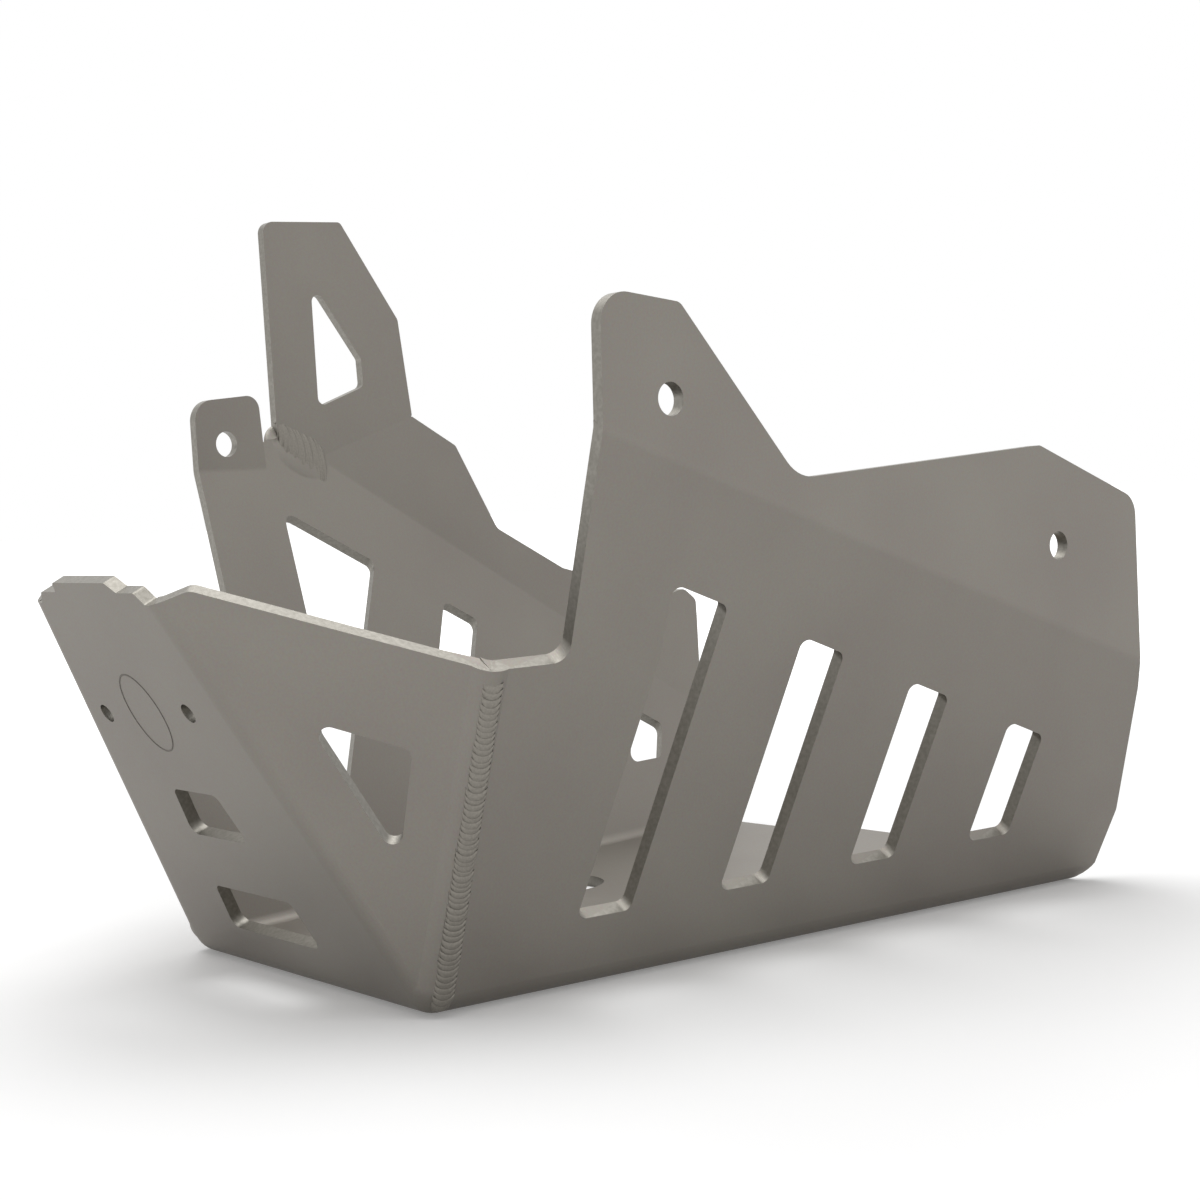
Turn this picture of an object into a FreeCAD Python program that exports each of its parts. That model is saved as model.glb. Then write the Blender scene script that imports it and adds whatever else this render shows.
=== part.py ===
import FreeCAD, Part
import math
import os

from FreeCAD import Placement, Rotation, Vector

# Motorcycle skid plate: one piece of folded and welded aluminium sheet.
# +X is the side with the long upright wall, -Y is the front and +Z is up. The
# shapes are laid out from the middle of the front plate's bottom fold, and the
# finished plate is then moved so that the origin is in the middle of the floor's
# underside.

SIZES = {
    # Sheet
    "sheet_thickness": 4.5,
    "bend_radius": 10.0,
    "edge_rake": 2.25,
    # Floor
    "floor_front_width": 150.0,
    "floor_flare_angle": 6.56,
    "floor_side_length": 293.5,
    "floor_tongue_length": 312.0,
    "floor_tongue_width": 76.0,
    "floor_step_width": 126.0,
    "drain_hole_diameter": 36.0,
    "drain_hole_side": 43.0,
    "drain_hole_back": 148.5,
    "origin_back": 150.0,
    # Side walls
    "wall_lean_angle": 18.0,
    "near_wall_reach": 138.0,
    # Front plate and wings
    "front_lean_angle": 27.25,
    "crease_top_width": 84.0,
    "crease_top_height": 136.5,
    "plate_top_height": 143.5,
    "plate_tab_width": 37.5,
    "plate_tab_shift": -2.0,
    "plate_shoulder_height": 140.3,
    "plate_shoulder_width": 66.0,
    "plate_shoulder_inner_width": 43.5,
    "plate_notch_width": 73.5,
    "wing_peak_side": 51.0,
    "wing_peak_height": 140.5,
    "corner_top_height": 112.0,
    "corner_top_back": 4.0,
    # Openings of the front plate
    "front_feature_shift": -3.0,
    "upper_opening_top": 71.0,
    "upper_opening_bottom": 54.0,
    "upper_opening_top_width": 29.0,
    "upper_opening_bottom_width": 38.0,
    "lower_opening_top": 33.5,
    "lower_opening_bottom": 16.5,
    "lower_opening_top_width": 50.0,
    "lower_opening_bottom_width": 58.0,
    "opening_corner_radius": 3.5,
    "badge_hole_diameter": 7.0,
    "badge_hole_spacing": 61.0,
    "badge_hole_height": 98.9,
    "badge_hole_rise": 3.4,
    "badge_shift": -5.2,
    # Near wall outline
    "near_shelf_height": 112.3,
    "near_ear_front": 31.9,
    "near_ear_top": 225.0,
    "near_ear_back": 64.0,
    "near_saddle_back": 112.5,
    "near_saddle_height": 165.3,
    "near_peak_back": 239.0,
    "near_peak_height": 173.2,
    "near_rear_back": 296.5,
    "near_rear_height": 151.5,
    "near_rear_bulge": 304.0,
    "near_rear_bulge_height": 28.0,
    "ear_hole_diameter": 10.5,
    "ear_hole_back": 58.4,
    "ear_hole_height": 191.5,
    "rear_hole_diameter": 10.5,
    "rear_hole_back": 248.0,
    "rear_hole_height": 136.0,
    # Slots of the near wall
    "slot_bottom_height": 24.7,
    "slot_bottom_rise": 0.5,
    "slot_top_height": 140.3,
    "slot_top_drop_angle": 20.73,
    "slot_pitch": 57.75,
    "first_slot_back": 50.25,
    "first_slot_kink_height": 111.0,
    "slot_width": 21.2,
    "slot_slant_angle": 10.45,
    "slot_corner_radius": 3.5,
    # Far wall outline
    "far_ear_front": 44.1,
    "far_ear_top": 210.5,
    "far_ear_back": 76.5,
    "far_ear_fold_height": 180.0,
    "far_relief_height": 190.5,
    "far_tab_reach": 147.0,
    "far_tab_front": 85.6,
    "far_tab_top": 285.8,
    "far_tab_top_back": 124.0,
    "far_tab_back": 156.5,
    "far_tab_shoulder_back": 151.5,
    "far_tab_shoulder_height": 245.0,
    "far_tab_foot_height": 202.0,
    "far_fold_start_back": 109.0,
    "far_fold_start_height": 182.0,
    "far_fold_drop_angle": 32.7,
    "far_shoulder_back": 178.0,
    "far_shoulder_height": 188.5,
    "far_step_back": 196.0,
    "far_step_height": 150.0,
    "far_ledge_back": 231.0,
    "far_ledge_height": 129.5,
    "far_tail_back": 310.5,
    "far_tail_height": 115.0,
    # Windows of the far wall
    "far_window_front": 81.5,
    "far_window_top": 160.4,
    "far_window_top_drop_angle": 29.9,
    "far_window_bottom": 34.0,
    "far_window_slant_angle": 24.7,
    "far_window_back": 124.0,
    "far_window_kink_height": 109.0,
    "far_window_radius": 3.5,
    "far_slot_start_back": 119.6,
    "far_slot_pitch": 63.9,
    "far_slot_width": 21.6,
    "tab_window_front": 107.5,
    "tab_window_top": 261.5,
    "tab_window_back": 131.6,
    "tab_window_shoulder_height": 227.5,
    "tab_window_back_height": 215.5,
    "tab_window_bottom_height": 206.5,
    "tab_window_radius": 3.0,
    # Wing windows
    "wing_window_side": 67.8,
    "wing_window_top": 99.0,
    "wing_window_outer_side": 89.5,
    "wing_window_outer_top": 88.2,
    "wing_window_tip_side": 78.9,
    "wing_window_tip_height": 51.8,
    "wing_window_radius": 3.4,
    # Welds
    "weld_bead_width": 7.6,
    "weld_bead_rise": 0.9,
    "weld_patch_back": 98.0,
    "weld_patch_height": 187.0,
    "weld_patch_length": 36.0,
    "weld_patch_width": 26.0,
    "weld_patch_depth": 7.0,
    "weld_patch_rise": 1.6,
    "weld_patch_turn": 30.0,
    "corner_fill_reach": 16.0,
    "cut_reach": 30.0,
}


def make_sheet(doc):
    """The driving dimensions, each an alias of its cell."""
    sheet = doc.addObject("Spreadsheet::Sheet", "Sizes")
    for row, (name, value) in enumerate(SIZES.items(), start=1):
        sheet.set(f"A{row}", name)
        sheet.set(f"B{row}", str(value))
        sheet.setAlias(f"B{row}", name)
    doc.recompute()
    return sheet


class Face:
    """A flat outer face of the sheet, with its outward normal."""

    def __init__(self, normal, point):
        self.normal = Vector(normal).normalize()
        self.point = Vector(point)

    def moved(self, distance):
        return Face(self.normal, self.point + self.normal * distance)

    def hit(self, start, direction):
        along = self.normal.dot(direction)
        return start + direction * (self.normal.dot(self.point - start) / along)

    def at_yz(self, back, height):
        return self.hit(Vector(0, back, height), Vector(1, 0, 0))

    def at_xz(self, side, height):
        return self.hit(Vector(side, 0, height), Vector(0, 1, 0))

    def at_xy(self, side, back):
        return self.hit(Vector(side, back, 0), Vector(0, 0, 1))


def plane_through(first, second, third, outward):
    normal = (second - first).cross(third - first).normalize()
    if normal.dot(outward) < 0:
        normal = normal * -1
    return Face(normal, first)


def outside_block(face, reach=1500.0):
    """A block that fills the space outside a face."""
    block = Part.makeBox(2 * reach, 2 * reach, reach, Vector(-reach, -reach, 0))
    block.Placement = Placement(face.point, Rotation(Vector(0, 0, 1), face.normal))
    return block


def core_solid(faces, inset, size):
    """The space inside all the faces, each moved inwards by the inset."""
    solid = Part.makeBox(2 * size, 2 * size, size, Vector(-size, -size, 0))
    for face in faces:
        solid = solid.cut(outside_block(face.moved(-inset)))
    return solid.Solids[0]


def rounded_wire(corners):
    """A closed wire through (point, radius) corners, each rounded by an arc."""
    count = len(corners)
    starts = []
    ends = []
    arcs = []
    for index, (corner, radius) in enumerate(corners):
        before = corners[index - 1][0]
        after = corners[(index + 1) % count][0]
        back = (before - corner).normalize()
        ahead = (after - corner).normalize()
        half = 0.5 * math.acos(max(-1.0, min(1.0, back.dot(ahead))))
        if radius <= 0 or half > math.radians(89.5):
            starts.append(corner)
            ends.append(corner)
            arcs.append(None)
            continue
        trim = radius / math.tan(half)
        start = corner + back * trim
        end = corner + ahead * trim
        centre = corner + (back + ahead).normalize() * (radius / math.sin(half))
        middle = centre + (corner - centre).normalize() * radius
        starts.append(start)
        ends.append(end)
        arcs.append(Part.Arc(start, middle, end).toShape())
    edges = []
    for index in range(count):
        if arcs[index] is not None:
            edges.append(arcs[index])
        following = (index + 1) % count
        edges.append(Part.makeLine(ends[index], starts[following]))
    return Part.Wire(edges)


def through_prism(corners, outward, outside, inside):
    """A prism on a rounded outline, from outside the sheet to inside it."""
    outward = Vector(outward).normalize()
    wire = rounded_wire([(point + outward * outside, radius) for point, radius in corners])
    return Part.Face(wire).extrude(outward * -(outside + inside))


def union(shapes):
    result = shapes[0].multiFuse(shapes[1:])
    return result


class Plan:
    """Every face of the folded sheet, worked out from the sheet of sizes."""

    def __init__(self, sheet):
        for name in SIZES:
            setattr(self, name, float(getattr(sheet, name)))
        self.floor_half = self.floor_front_width / 2
        self.flare = math.tan(math.radians(self.floor_flare_angle))
        self.lean = math.tan(math.radians(self.wall_lean_angle))
        self.front_lean = math.tan(math.radians(self.front_lean_angle))

        self.floor = Face(Vector(0, 0, -1), Vector(0, 0, 0))
        self.front = Face(Vector(0, -1, -self.front_lean), Vector(0, 0, 0))
        self.near_low = Face(Vector(1, -self.flare, -self.lean), Vector(self.floor_half, 0, 0))
        self.far_low = Face(Vector(-1, -self.flare, -self.lean), Vector(-self.floor_half, 0, 0))
        self.near_high = Face(Vector(1, 0, 0), Vector(self.near_wall_reach, 0, 0))
        self.near_wing = self.wing(1)
        self.far_wing = self.wing(-1)

        ear_point = self.far_low.at_yz(0, self.far_ear_fold_height)
        self.far_ear = Face(Vector(-1, -self.flare, 0), ear_point)
        self.far_tab = Face(Vector(-1, 0, 0), Vector(-self.far_tab_reach, 0, 0))
        self.far_flap = self.flap()

    def wing(self, side):
        low = self.near_low if side > 0 else self.far_low
        bottom = Vector(side * self.floor_half, 0, 0)
        crease = self.front.at_xz(side * self.crease_top_width / 2, self.crease_top_height)
        corner = low.at_yz(self.corner_top_back, self.corner_top_height)
        return plane_through(bottom, crease, corner, Vector(side, -1, 0))

    def flap(self):
        """The far wall's upper flap, between its long fold and the tab's fold."""
        drop = math.tan(math.radians(self.far_fold_drop_angle))
        run = 100.0
        start = self.far_low.at_yz(self.far_fold_start_back, self.far_fold_start_height)
        end = self.far_low.at_yz(self.far_fold_start_back + run, self.far_fold_start_height - run * drop)
        foot = self.far_tab.at_yz(self.far_tab_back, self.far_tab_foot_height)
        return plane_through(start, end, foot, Vector(-1, 0, 0))


def folded_forms(plan, far_faces):
    """The outer and inner forms of a trough whose folds all have the bend radius."""
    size = 2 * plan.floor_tongue_length
    faces = [plan.floor, plan.front, plan.near_low, plan.near_high, plan.near_wing]
    faces += [plan.far_wing, plan.far_low] + far_faces
    core = core_solid(faces, plan.bend_radius, size)
    outer = core.makeOffsetShape(plan.bend_radius, 0.001, join=0)
    inner = core.makeOffsetShape(plan.bend_radius - plan.sheet_thickness, 0.001, join=0)
    return outer.Solids[0], inner.Solids[0]


def leaning(side, plan):
    """The direction in which the lower walls are cut, raked more than they lean."""
    return Vector(side, 0, -plan.lean * plan.edge_rake)


def raked(face, plan):
    """The direction in which a wing is cut, raked more than it leans."""
    normal = face.normal
    return Vector(normal.x, normal.y, normal.z * plan.edge_rake)


def floor_zone(plan):
    side_edge = plan.floor_half + plan.flare * plan.floor_side_length
    tongue = plan.floor_tongue_width / 2
    step = plan.floor_step_width / 2
    outline = [(-plan.floor_half, 0, 0), (plan.floor_half, 0, 0)]
    outline += [(side_edge, plan.floor_side_length, 0), (step, plan.floor_side_length + 2, 6)]
    outline += [(tongue, plan.floor_tongue_length, 6), (-tongue, plan.floor_tongue_length, 6)]
    outline += [(-step, plan.floor_side_length + 2, 6), (-side_edge, plan.floor_side_length, 0)]
    corners = [(Vector(side, back, 0), radius) for side, back, radius in outline]
    return through_prism(corners, Vector(0, 0, -1), 5, plan.bend_radius)


def front_zone(plan):
    crease = plan.crease_top_width / 2
    notch = plan.plate_notch_width / 2
    shoulder = plan.plate_shoulder_width / 2
    inner = plan.plate_shoulder_inner_width / 2
    tab = plan.plate_tab_width / 2
    shift = plan.plate_tab_shift
    right = [(plan.floor_half, 0, 0), (crease, plan.crease_top_height, 0)]
    right += [(notch, plan.crease_top_height, 1.5)]
    right += [(shoulder, plan.plate_shoulder_height, 1.5), (inner, plan.plate_shoulder_height, 1.0)]
    left = [(-side, height, radius) for side, height, radius in reversed(right)]
    top = [(shift + tab, plan.plate_top_height, 1.5), (shift - tab, plan.plate_top_height, 1.5)]
    corners = [(plan.front.at_xz(side, height), radius) for side, height, radius in right + top + left]
    return through_prism(corners, plan.front.normal, 3, plan.cut_reach)


def wing_zone(plan, side):
    face = plan.near_wing if side > 0 else plan.far_wing
    low = plan.near_low if side > 0 else plan.far_low
    crease = plan.crease_top_width / 2
    corners = [
        (Vector(side * plan.floor_half, 0, 0), 0),
        (face.at_xz(side * crease, plan.crease_top_height), 0),
        (face.at_xz(side * plan.wing_peak_side, plan.wing_peak_height), 5),
        (low.at_yz(plan.corner_top_back, plan.corner_top_height), 0),
    ]
    return through_prism(corners, raked(face, plan), 3, plan.cut_reach)


def near_fold_height(plan, back):
    return (plan.near_wall_reach - plan.floor_half - plan.flare * back) / plan.lean


def near_zones(plan):
    ear_fold = near_fold_height(plan, plan.near_ear_front)
    rear_fold = near_fold_height(plan, plan.near_rear_back)
    low = [
        (0, 0, 0),
        (plan.corner_top_back, plan.corner_top_height, 0),
        (plan.near_ear_front - 0.4, plan.near_shelf_height, 6),
        (plan.near_ear_front - 1.2, ear_fold, 0),
        (plan.near_rear_back, rear_fold, 0),
        (plan.near_rear_back + 2.5, rear_fold - 11, 8),
        (plan.near_rear_bulge, plan.near_rear_bulge_height, 6),
        (plan.near_rear_bulge - 5, plan.near_rear_bulge_height - 21.5, 0),
        (plan.floor_side_length, 0, 0),
    ]
    high = [
        (plan.near_ear_front - 1.2, ear_fold, 0),
        (plan.near_ear_front + 0.2, plan.near_ear_top, 10),
        (plan.near_ear_back, plan.near_ear_top - 3.8, 4),
        (plan.near_saddle_back, plan.near_saddle_height, 15),
        (plan.near_peak_back, plan.near_peak_height, 5),
        (plan.near_rear_back, plan.near_rear_height, 9),
        (plan.near_rear_back, rear_fold, 0),
    ]
    low_corners = [(plan.near_low.at_yz(back, height), radius) for back, height, radius in low]
    high_corners = [(plan.near_high.at_yz(back, height), radius) for back, height, radius in high]
    return [
        through_prism(low_corners, leaning(1, plan), 3, plan.cut_reach),
        through_prism(high_corners, Vector(1, 0, 0), 3, plan.cut_reach),
    ]


def far_fold_point(plan, back):
    drop = math.tan(math.radians(plan.far_fold_drop_angle))
    height = plan.far_fold_start_height - (back - plan.far_fold_start_back) * drop
    return back, height


def far_zones(plan):
    """The far wall without its front ear."""
    tail_fold = far_fold_point(plan, plan.far_tail_back - 4)
    start_fold = far_fold_point(plan, plan.far_fold_start_back)
    shelf = plan.near_shelf_height
    low = [
        (0, 0, 0),
        (plan.corner_top_back, plan.corner_top_height, 0),
        (plan.far_ear_front, shelf, 8),
        (plan.far_ear_front, plan.far_ear_fold_height, 0),
        (plan.far_ear_back + 1, plan.far_ear_fold_height + 4, 0),
        (plan.far_ear_back + 3, plan.far_relief_height, 3),
        (plan.far_tab_front + 1.2, plan.far_relief_height, 2),
        (plan.far_tab_front + 1.1, plan.far_tab_foot_height + 10, 0),
        (plan.far_fold_start_back, plan.far_fold_start_height + 25, 0),
        start_fold + (0,),
        tail_fold + (0,),
        (plan.far_tail_back - 5, plan.near_rear_bulge_height, 6),
        (plan.far_tail_back - 11, plan.near_rear_bulge_height - 21.5, 0),
        (plan.floor_side_length, 0, 0),
    ]
    tab = [
        (plan.far_tab_front + 1.2, plan.far_relief_height, 2),
        (plan.far_tab_front, plan.far_tab_top - 0.8, 5),
        (plan.far_tab_top_back, plan.far_tab_top + 0.8, 2.5),
        (plan.far_tab_shoulder_back, plan.far_tab_shoulder_height, 4),
        (plan.far_tab_back, plan.far_tab_foot_height, 2),
        (plan.far_fold_start_back, plan.far_fold_start_height - 5, 0),
    ]
    flap = [
        start_fold + (0,),
        (plan.far_tab_back, plan.far_tab_foot_height, 0),
        (plan.far_shoulder_back, plan.far_shoulder_height, 3),
        (plan.far_step_back, plan.far_step_height, 6),
        (plan.far_ledge_back, plan.far_ledge_height, 6),
        (plan.far_tail_back - 20, plan.far_tail_height - 3, 8),
        (plan.far_tail_back - 7, plan.far_tail_height, 5),
        (plan.far_tail_back, plan.far_tail_height - 6, 4),
        (plan.far_tail_back - 0.5, plan.far_tail_height - 15, 8),
        tail_fold + (0,),
    ]
    shapes = []
    for face, outline, cut in (
        (plan.far_low, low, leaning(-1, plan)),
        (plan.far_tab, tab, Vector(-1, 0, 0)),
        (plan.far_flap, flap, Vector(-1, 0, 0)),
    ):
        corners = [(face.at_yz(back, height), radius) for back, height, radius in outline]
        shapes.append(through_prism(corners, cut, 3, plan.cut_reach))
    return shapes


def far_ear_zone(plan):
    ear = [
        (plan.far_ear_front, plan.far_ear_fold_height - 14, 0),
        (plan.far_ear_front - 0.5, plan.far_ear_top - 1.5, 9),
        (plan.far_ear_back - 1, plan.far_ear_top + 1.5, 6),
        (plan.far_ear_back + 1, plan.far_ear_fold_height + 4, 0),
        (plan.far_ear_back + 2, plan.far_ear_fold_height - 10, 0),
    ]
    corners = [(plan.far_ear.at_yz(back, height), radius) for back, height, radius in ear]
    return through_prism(corners, Vector(-1, 0, 0), 3, plan.cut_reach)


def slot_cutters(plan):
    """The near wall's slanting slots, which end below its fold."""
    slant = math.tan(math.radians(plan.slot_slant_angle))
    drop = math.tan(math.radians(plan.slot_top_drop_angle))
    radius = plan.slot_corner_radius
    shapes = []
    for index in range(4):
        start = plan.first_slot_back + index * plan.slot_pitch
        bottom = plan.slot_bottom_height + index * plan.slot_bottom_rise

        def top_at(back, bottom=bottom):
            """Where a slanting side that leaves the bottom at back meets the top line."""
            reach = plan.slot_top_height - drop * (back - plan.first_slot_back) - bottom
            rise = reach / (1 + drop * slant)
            return back + slant * rise, bottom + rise

        outline = [(start, bottom, radius), (start + plan.slot_width, bottom, radius)]
        outline.append(top_at(start + plan.slot_width) + (radius,))
        if index == 0:
            kink = start + slant * (plan.first_slot_kink_height - bottom)
            kink_top = plan.slot_top_height - drop * (kink - plan.first_slot_back)
            outline += [(kink, kink_top, radius), (kink, plan.first_slot_kink_height, 12)]
        else:
            outline.append(top_at(start) + (radius,))
        corners = [(plan.near_low.at_yz(back, height), turn) for back, height, turn in outline]
        shapes.append(through_prism(corners, leaning(1, plan), 8, 12))
    return shapes


def far_window_cutters(plan):
    """The far wall's front window, and the slots behind it, under one slanting line."""
    drop = math.tan(math.radians(plan.far_window_top_drop_angle))
    slant = math.tan(math.radians(plan.far_window_slant_angle))
    bottom = plan.far_window_bottom
    radius = plan.far_window_radius

    def top_at(back):
        """Where a slanting side that leaves the bottom at back meets the top line."""
        reach = plan.far_window_top + drop * plan.far_window_front - bottom
        meets = (back + slant * reach) / (1 + slant * drop)
        return meets, plan.far_window_top - drop * (meets - plan.far_window_front)

    kink = plan.far_window_kink_height
    foot = plan.far_window_front - slant * (kink - bottom)
    back_height = plan.far_window_top - drop * (plan.far_window_back - plan.far_window_front)
    outlines = [[
        (plan.far_window_front, plan.far_window_top),
        (plan.far_window_back, back_height),
        (plan.far_window_back - slant * (back_height - bottom), bottom),
        (foot, bottom),
        (plan.far_window_front, kink),
    ]]
    for index in range(3):
        front = plan.far_slot_start_back + index * plan.far_slot_pitch
        back = front + plan.far_slot_width
        outlines.append([top_at(front), top_at(back), (back, bottom), (front, bottom)])
    shapes = []
    for outline in outlines:
        corners = [(plan.far_low.at_yz(back, height), radius) for back, height in outline]
        shapes.append(through_prism(corners, leaning(-1, plan), 8, 12))
    return shapes


def tab_window_cutter(plan):
    radius = plan.tab_window_radius
    outline = [
        (plan.tab_window_front, plan.tab_window_top),
        (plan.tab_window_back - 0.5, plan.tab_window_shoulder_height),
        (plan.tab_window_back, plan.tab_window_back_height),
        (plan.tab_window_front + 0.5, plan.tab_window_bottom_height),
    ]
    corners = [(plan.far_tab.at_yz(back, height), radius) for back, height in outline]
    return through_prism(corners, Vector(-1, 0, 0), 8, 12)


def wing_window_cutter(plan, side):
    face = plan.near_wing if side > 0 else plan.far_wing
    outline = [
        (plan.wing_window_side, plan.wing_window_top),
        (plan.wing_window_outer_side, plan.wing_window_outer_top),
        (plan.wing_window_tip_side, plan.wing_window_tip_height),
    ]
    radius = plan.wing_window_radius
    corners = [(face.at_xz(side * across, height), radius) for across, height in outline]
    return through_prism(corners, raked(face, plan), 8, 12)


def front_opening_cutters(plan):
    middle = plan.front_feature_shift
    radius = plan.opening_corner_radius
    shapes = []
    for top, bottom, top_width, bottom_width in (
        (plan.upper_opening_top, plan.upper_opening_bottom,
         plan.upper_opening_top_width, plan.upper_opening_bottom_width),
        (plan.lower_opening_top, plan.lower_opening_bottom,
         plan.lower_opening_top_width, plan.lower_opening_bottom_width),
    ):
        outline = [
            (middle - top_width / 2, top),
            (middle + top_width / 2, top),
            (middle + bottom_width / 2, bottom),
            (middle - bottom_width / 2, bottom),
        ]
        corners = [(plan.front.at_xz(across, height), radius) for across, height in outline]
        shapes.append(through_prism(corners, plan.front.normal, 8, 12))
    return shapes


def corner_bead(plan, side, inner):
    """The weld along the corner between a wing and its side wall."""
    wing = plan.near_wing if side > 0 else plan.far_wing
    low = plan.near_low if side > 0 else plan.far_low
    bottom = Vector(side * plan.floor_half, 0, 0)
    top = low.at_yz(plan.corner_top_back, plan.corner_top_height)
    along = (top - bottom).normalize()
    outward = (wing.normal + low.normal).normalize()
    half_turn = 0.5 * wing.normal.getAngle(low.normal)
    rounding = plan.bend_radius * (1 / math.cos(half_turn) - 1)
    rise = plan.weld_bead_rise
    radius = ((plan.weld_bead_width / 2) ** 2 + rise ** 2) / (2 * rise)
    inset = outward * (rise - rounding - radius)
    start = bottom + along * plan.bend_radius
    length = (top - bottom).Length - plan.bend_radius + plan.sheet_thickness
    bead = Part.makeCylinder(radius, length, start + inset, along)
    foot = Part.makeSphere(radius, start + inset)
    peak = wing.at_xz(side * plan.wing_peak_side, plan.wing_peak_height)
    lid = plane_through(top, peak, top + raked(wing, plan), Vector(0, 0, 1))
    spare = [inner, outside_block(plan.floor), outside_block(lid)]
    return bead.fuse(foot).cut(spare)


def corner_fill(plan, side):
    """The zone that lets a wing's raked top edge rise to its side wall's at the corner."""
    wing = plan.near_wing if side > 0 else plan.far_wing
    low = plan.near_low if side > 0 else plan.far_low
    up = Vector(0, 0, 1)
    shelf_end = plan.near_ear_front - 0.4 if side > 0 else plan.far_ear_front
    top = low.at_yz(plan.corner_top_back, plan.corner_top_height)
    peak = wing.at_xz(side * plan.wing_peak_side, plan.wing_peak_height)
    shelf = low.at_yz(shelf_end, plan.near_shelf_height)
    wing_top = plane_through(top, peak, top + raked(wing, plan), up)
    wall_top = plane_through(top, shelf, top + leaning(side, plan), up)
    outward = (wing.normal + low.normal).normalize()
    inset = plan.sheet_thickness / outward.dot(wing.normal)
    inner_corner = wall_top.at_xy((top - outward * inset).x, (top - outward * inset).y)
    away = top + (peak - top).normalize() * plan.corner_fill_reach - wing.normal * plan.sheet_thickness
    inner_end = wing_top.at_xy(away.x, away.y)
    slope = plane_through(top, inner_corner, inner_end, up)
    nook = Part.makeSphere(1.5 * plan.corner_fill_reach, top)
    return nook.cut([outside_block(slope), outside_block(wall_top)])


def bore(doc, name, diameter, length, centre, direction):
    """A round cutter whose diameter follows a cell of the sheet."""
    cutter = doc.addObject("Part::Cylinder", name)
    cutter.setExpression("Radius", f"Sizes.{diameter} / 2")
    cutter.Height = length
    turn = Rotation(Vector(0, 0, 1), direction)
    cutter.Placement = Placement(centre - direction * (length / 2), turn)
    return cutter


def feature(doc, name, shape):
    item = doc.addObject("Part::Feature", name)
    item.Shape = shape
    return item


def make_bores(doc, plan):
    across = Vector(1, 0, 0)
    through = 6 * plan.sheet_thickness
    ear = Vector(0, plan.ear_hole_back, plan.ear_hole_height)
    rear = Vector(plan.near_wall_reach, plan.rear_hole_back, plan.rear_hole_height)
    bores = [
        bore(doc, "EarBore", "ear_hole_diameter", 4 * plan.near_wall_reach, ear, across),
        bore(doc, "RearBore", "rear_hole_diameter", through, rear, across),
        bore(doc, "DrainBore", "drain_hole_diameter", through,
             Vector(-plan.drain_hole_side, plan.drain_hole_back, 0), Vector(0, 0, 1)),
    ]
    for label, side in (("BadgeBoreNear", 1), ("BadgeBoreFar", -1)):
        place = plan.badge_shift + side * plan.badge_hole_spacing / 2
        centre = plan.front.at_xz(place, plan.badge_hole_height + side * plan.badge_hole_rise / 2)
        bores.append(bore(doc, label, "badge_hole_diameter", through, centre, plan.front.normal))
    return bores


def make_patch(doc, plan, outer):
    """The puddle of weld at the foot of the far wall's tab."""
    patch = doc.addObject("Part::Ellipsoid", "PatchForm")
    patch.setExpression("Radius1", "Sizes.weld_patch_depth / 2")
    patch.setExpression("Radius2", "Sizes.weld_patch_length / 2")
    patch.setExpression("Radius3", "Sizes.weld_patch_width / 2")
    inner_face = plan.far_low.moved(-plan.sheet_thickness)
    seat = inner_face.at_yz(plan.weld_patch_back, plan.weld_patch_height)
    turned = math.radians(plan.weld_patch_turn)
    along = Vector(0, math.cos(turned), -math.sin(turned))
    flat = (along - plan.far_low.normal * along.dot(plan.far_low.normal)).normalize()
    side = plan.far_low.normal.cross(flat)
    turn = Rotation(flat, side, plan.far_low.normal, "ZXY")
    sunk = plan.weld_patch_depth / 2 - plan.weld_patch_rise
    patch.Placement = Placement(seat + plan.far_low.normal * sunk, turn)
    kept = doc.addObject("Part::Common", "WeldPatch")
    kept.Base = patch
    kept.Tool = feature(doc, "OuterForm", outer)
    return kept


def build():
    doc = FreeCAD.newDocument("SkidPlate")
    sheet = make_sheet(doc)
    plan = Plan(sheet)

    outer, inner = folded_forms(plan, [plan.far_tab, plan.far_flap])
    ear_outer, ear_inner = folded_forms(plan, [plan.far_ear])
    zones = [floor_zone(plan), front_zone(plan), wing_zone(plan, 1), wing_zone(plan, -1)]
    zones += near_zones(plan) + far_zones(plan)
    zones += [corner_fill(plan, 1), corner_fill(plan, -1)]
    trough = outer.cut(inner).common(union(zones))
    ear = ear_outer.cut(ear_inner).common(far_ear_zone(plan))

    pieces = [
        feature(doc, "FoldedSheet", trough),
        feature(doc, "FarEar", ear),
        feature(doc, "NearBead", corner_bead(plan, 1, inner)),
        feature(doc, "FarBead", corner_bead(plan, -1, inner)),
        make_patch(doc, plan, outer),
    ]
    welded = doc.addObject("Part::MultiFuse", "Welded")
    welded.Shapes = pieces

    cutters = slot_cutters(plan) + far_window_cutters(plan) + [tab_window_cutter(plan)]
    cutters += [wing_window_cutter(plan, 1), wing_window_cutter(plan, -1)]
    cutters += front_opening_cutters(plan)
    tools = [feature(doc, f"Opening{index}", shape) for index, shape in enumerate(cutters, start=1)]
    tools += make_bores(doc, plan)
    openings = doc.addObject("Part::MultiFuse", "Openings")
    openings.Shapes = tools

    plate = doc.addObject("Part::Cut", "SkidPlate")
    plate.Label = "skid_plate"
    plate.Base = welded
    plate.Tool = openings
    plate.Placement = Placement(Vector(0, 0, 0), Rotation())
    plate.setExpression("Placement.Base.y", "-Sizes.origin_back")
    doc.recompute()
    return doc, [plate]


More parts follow.
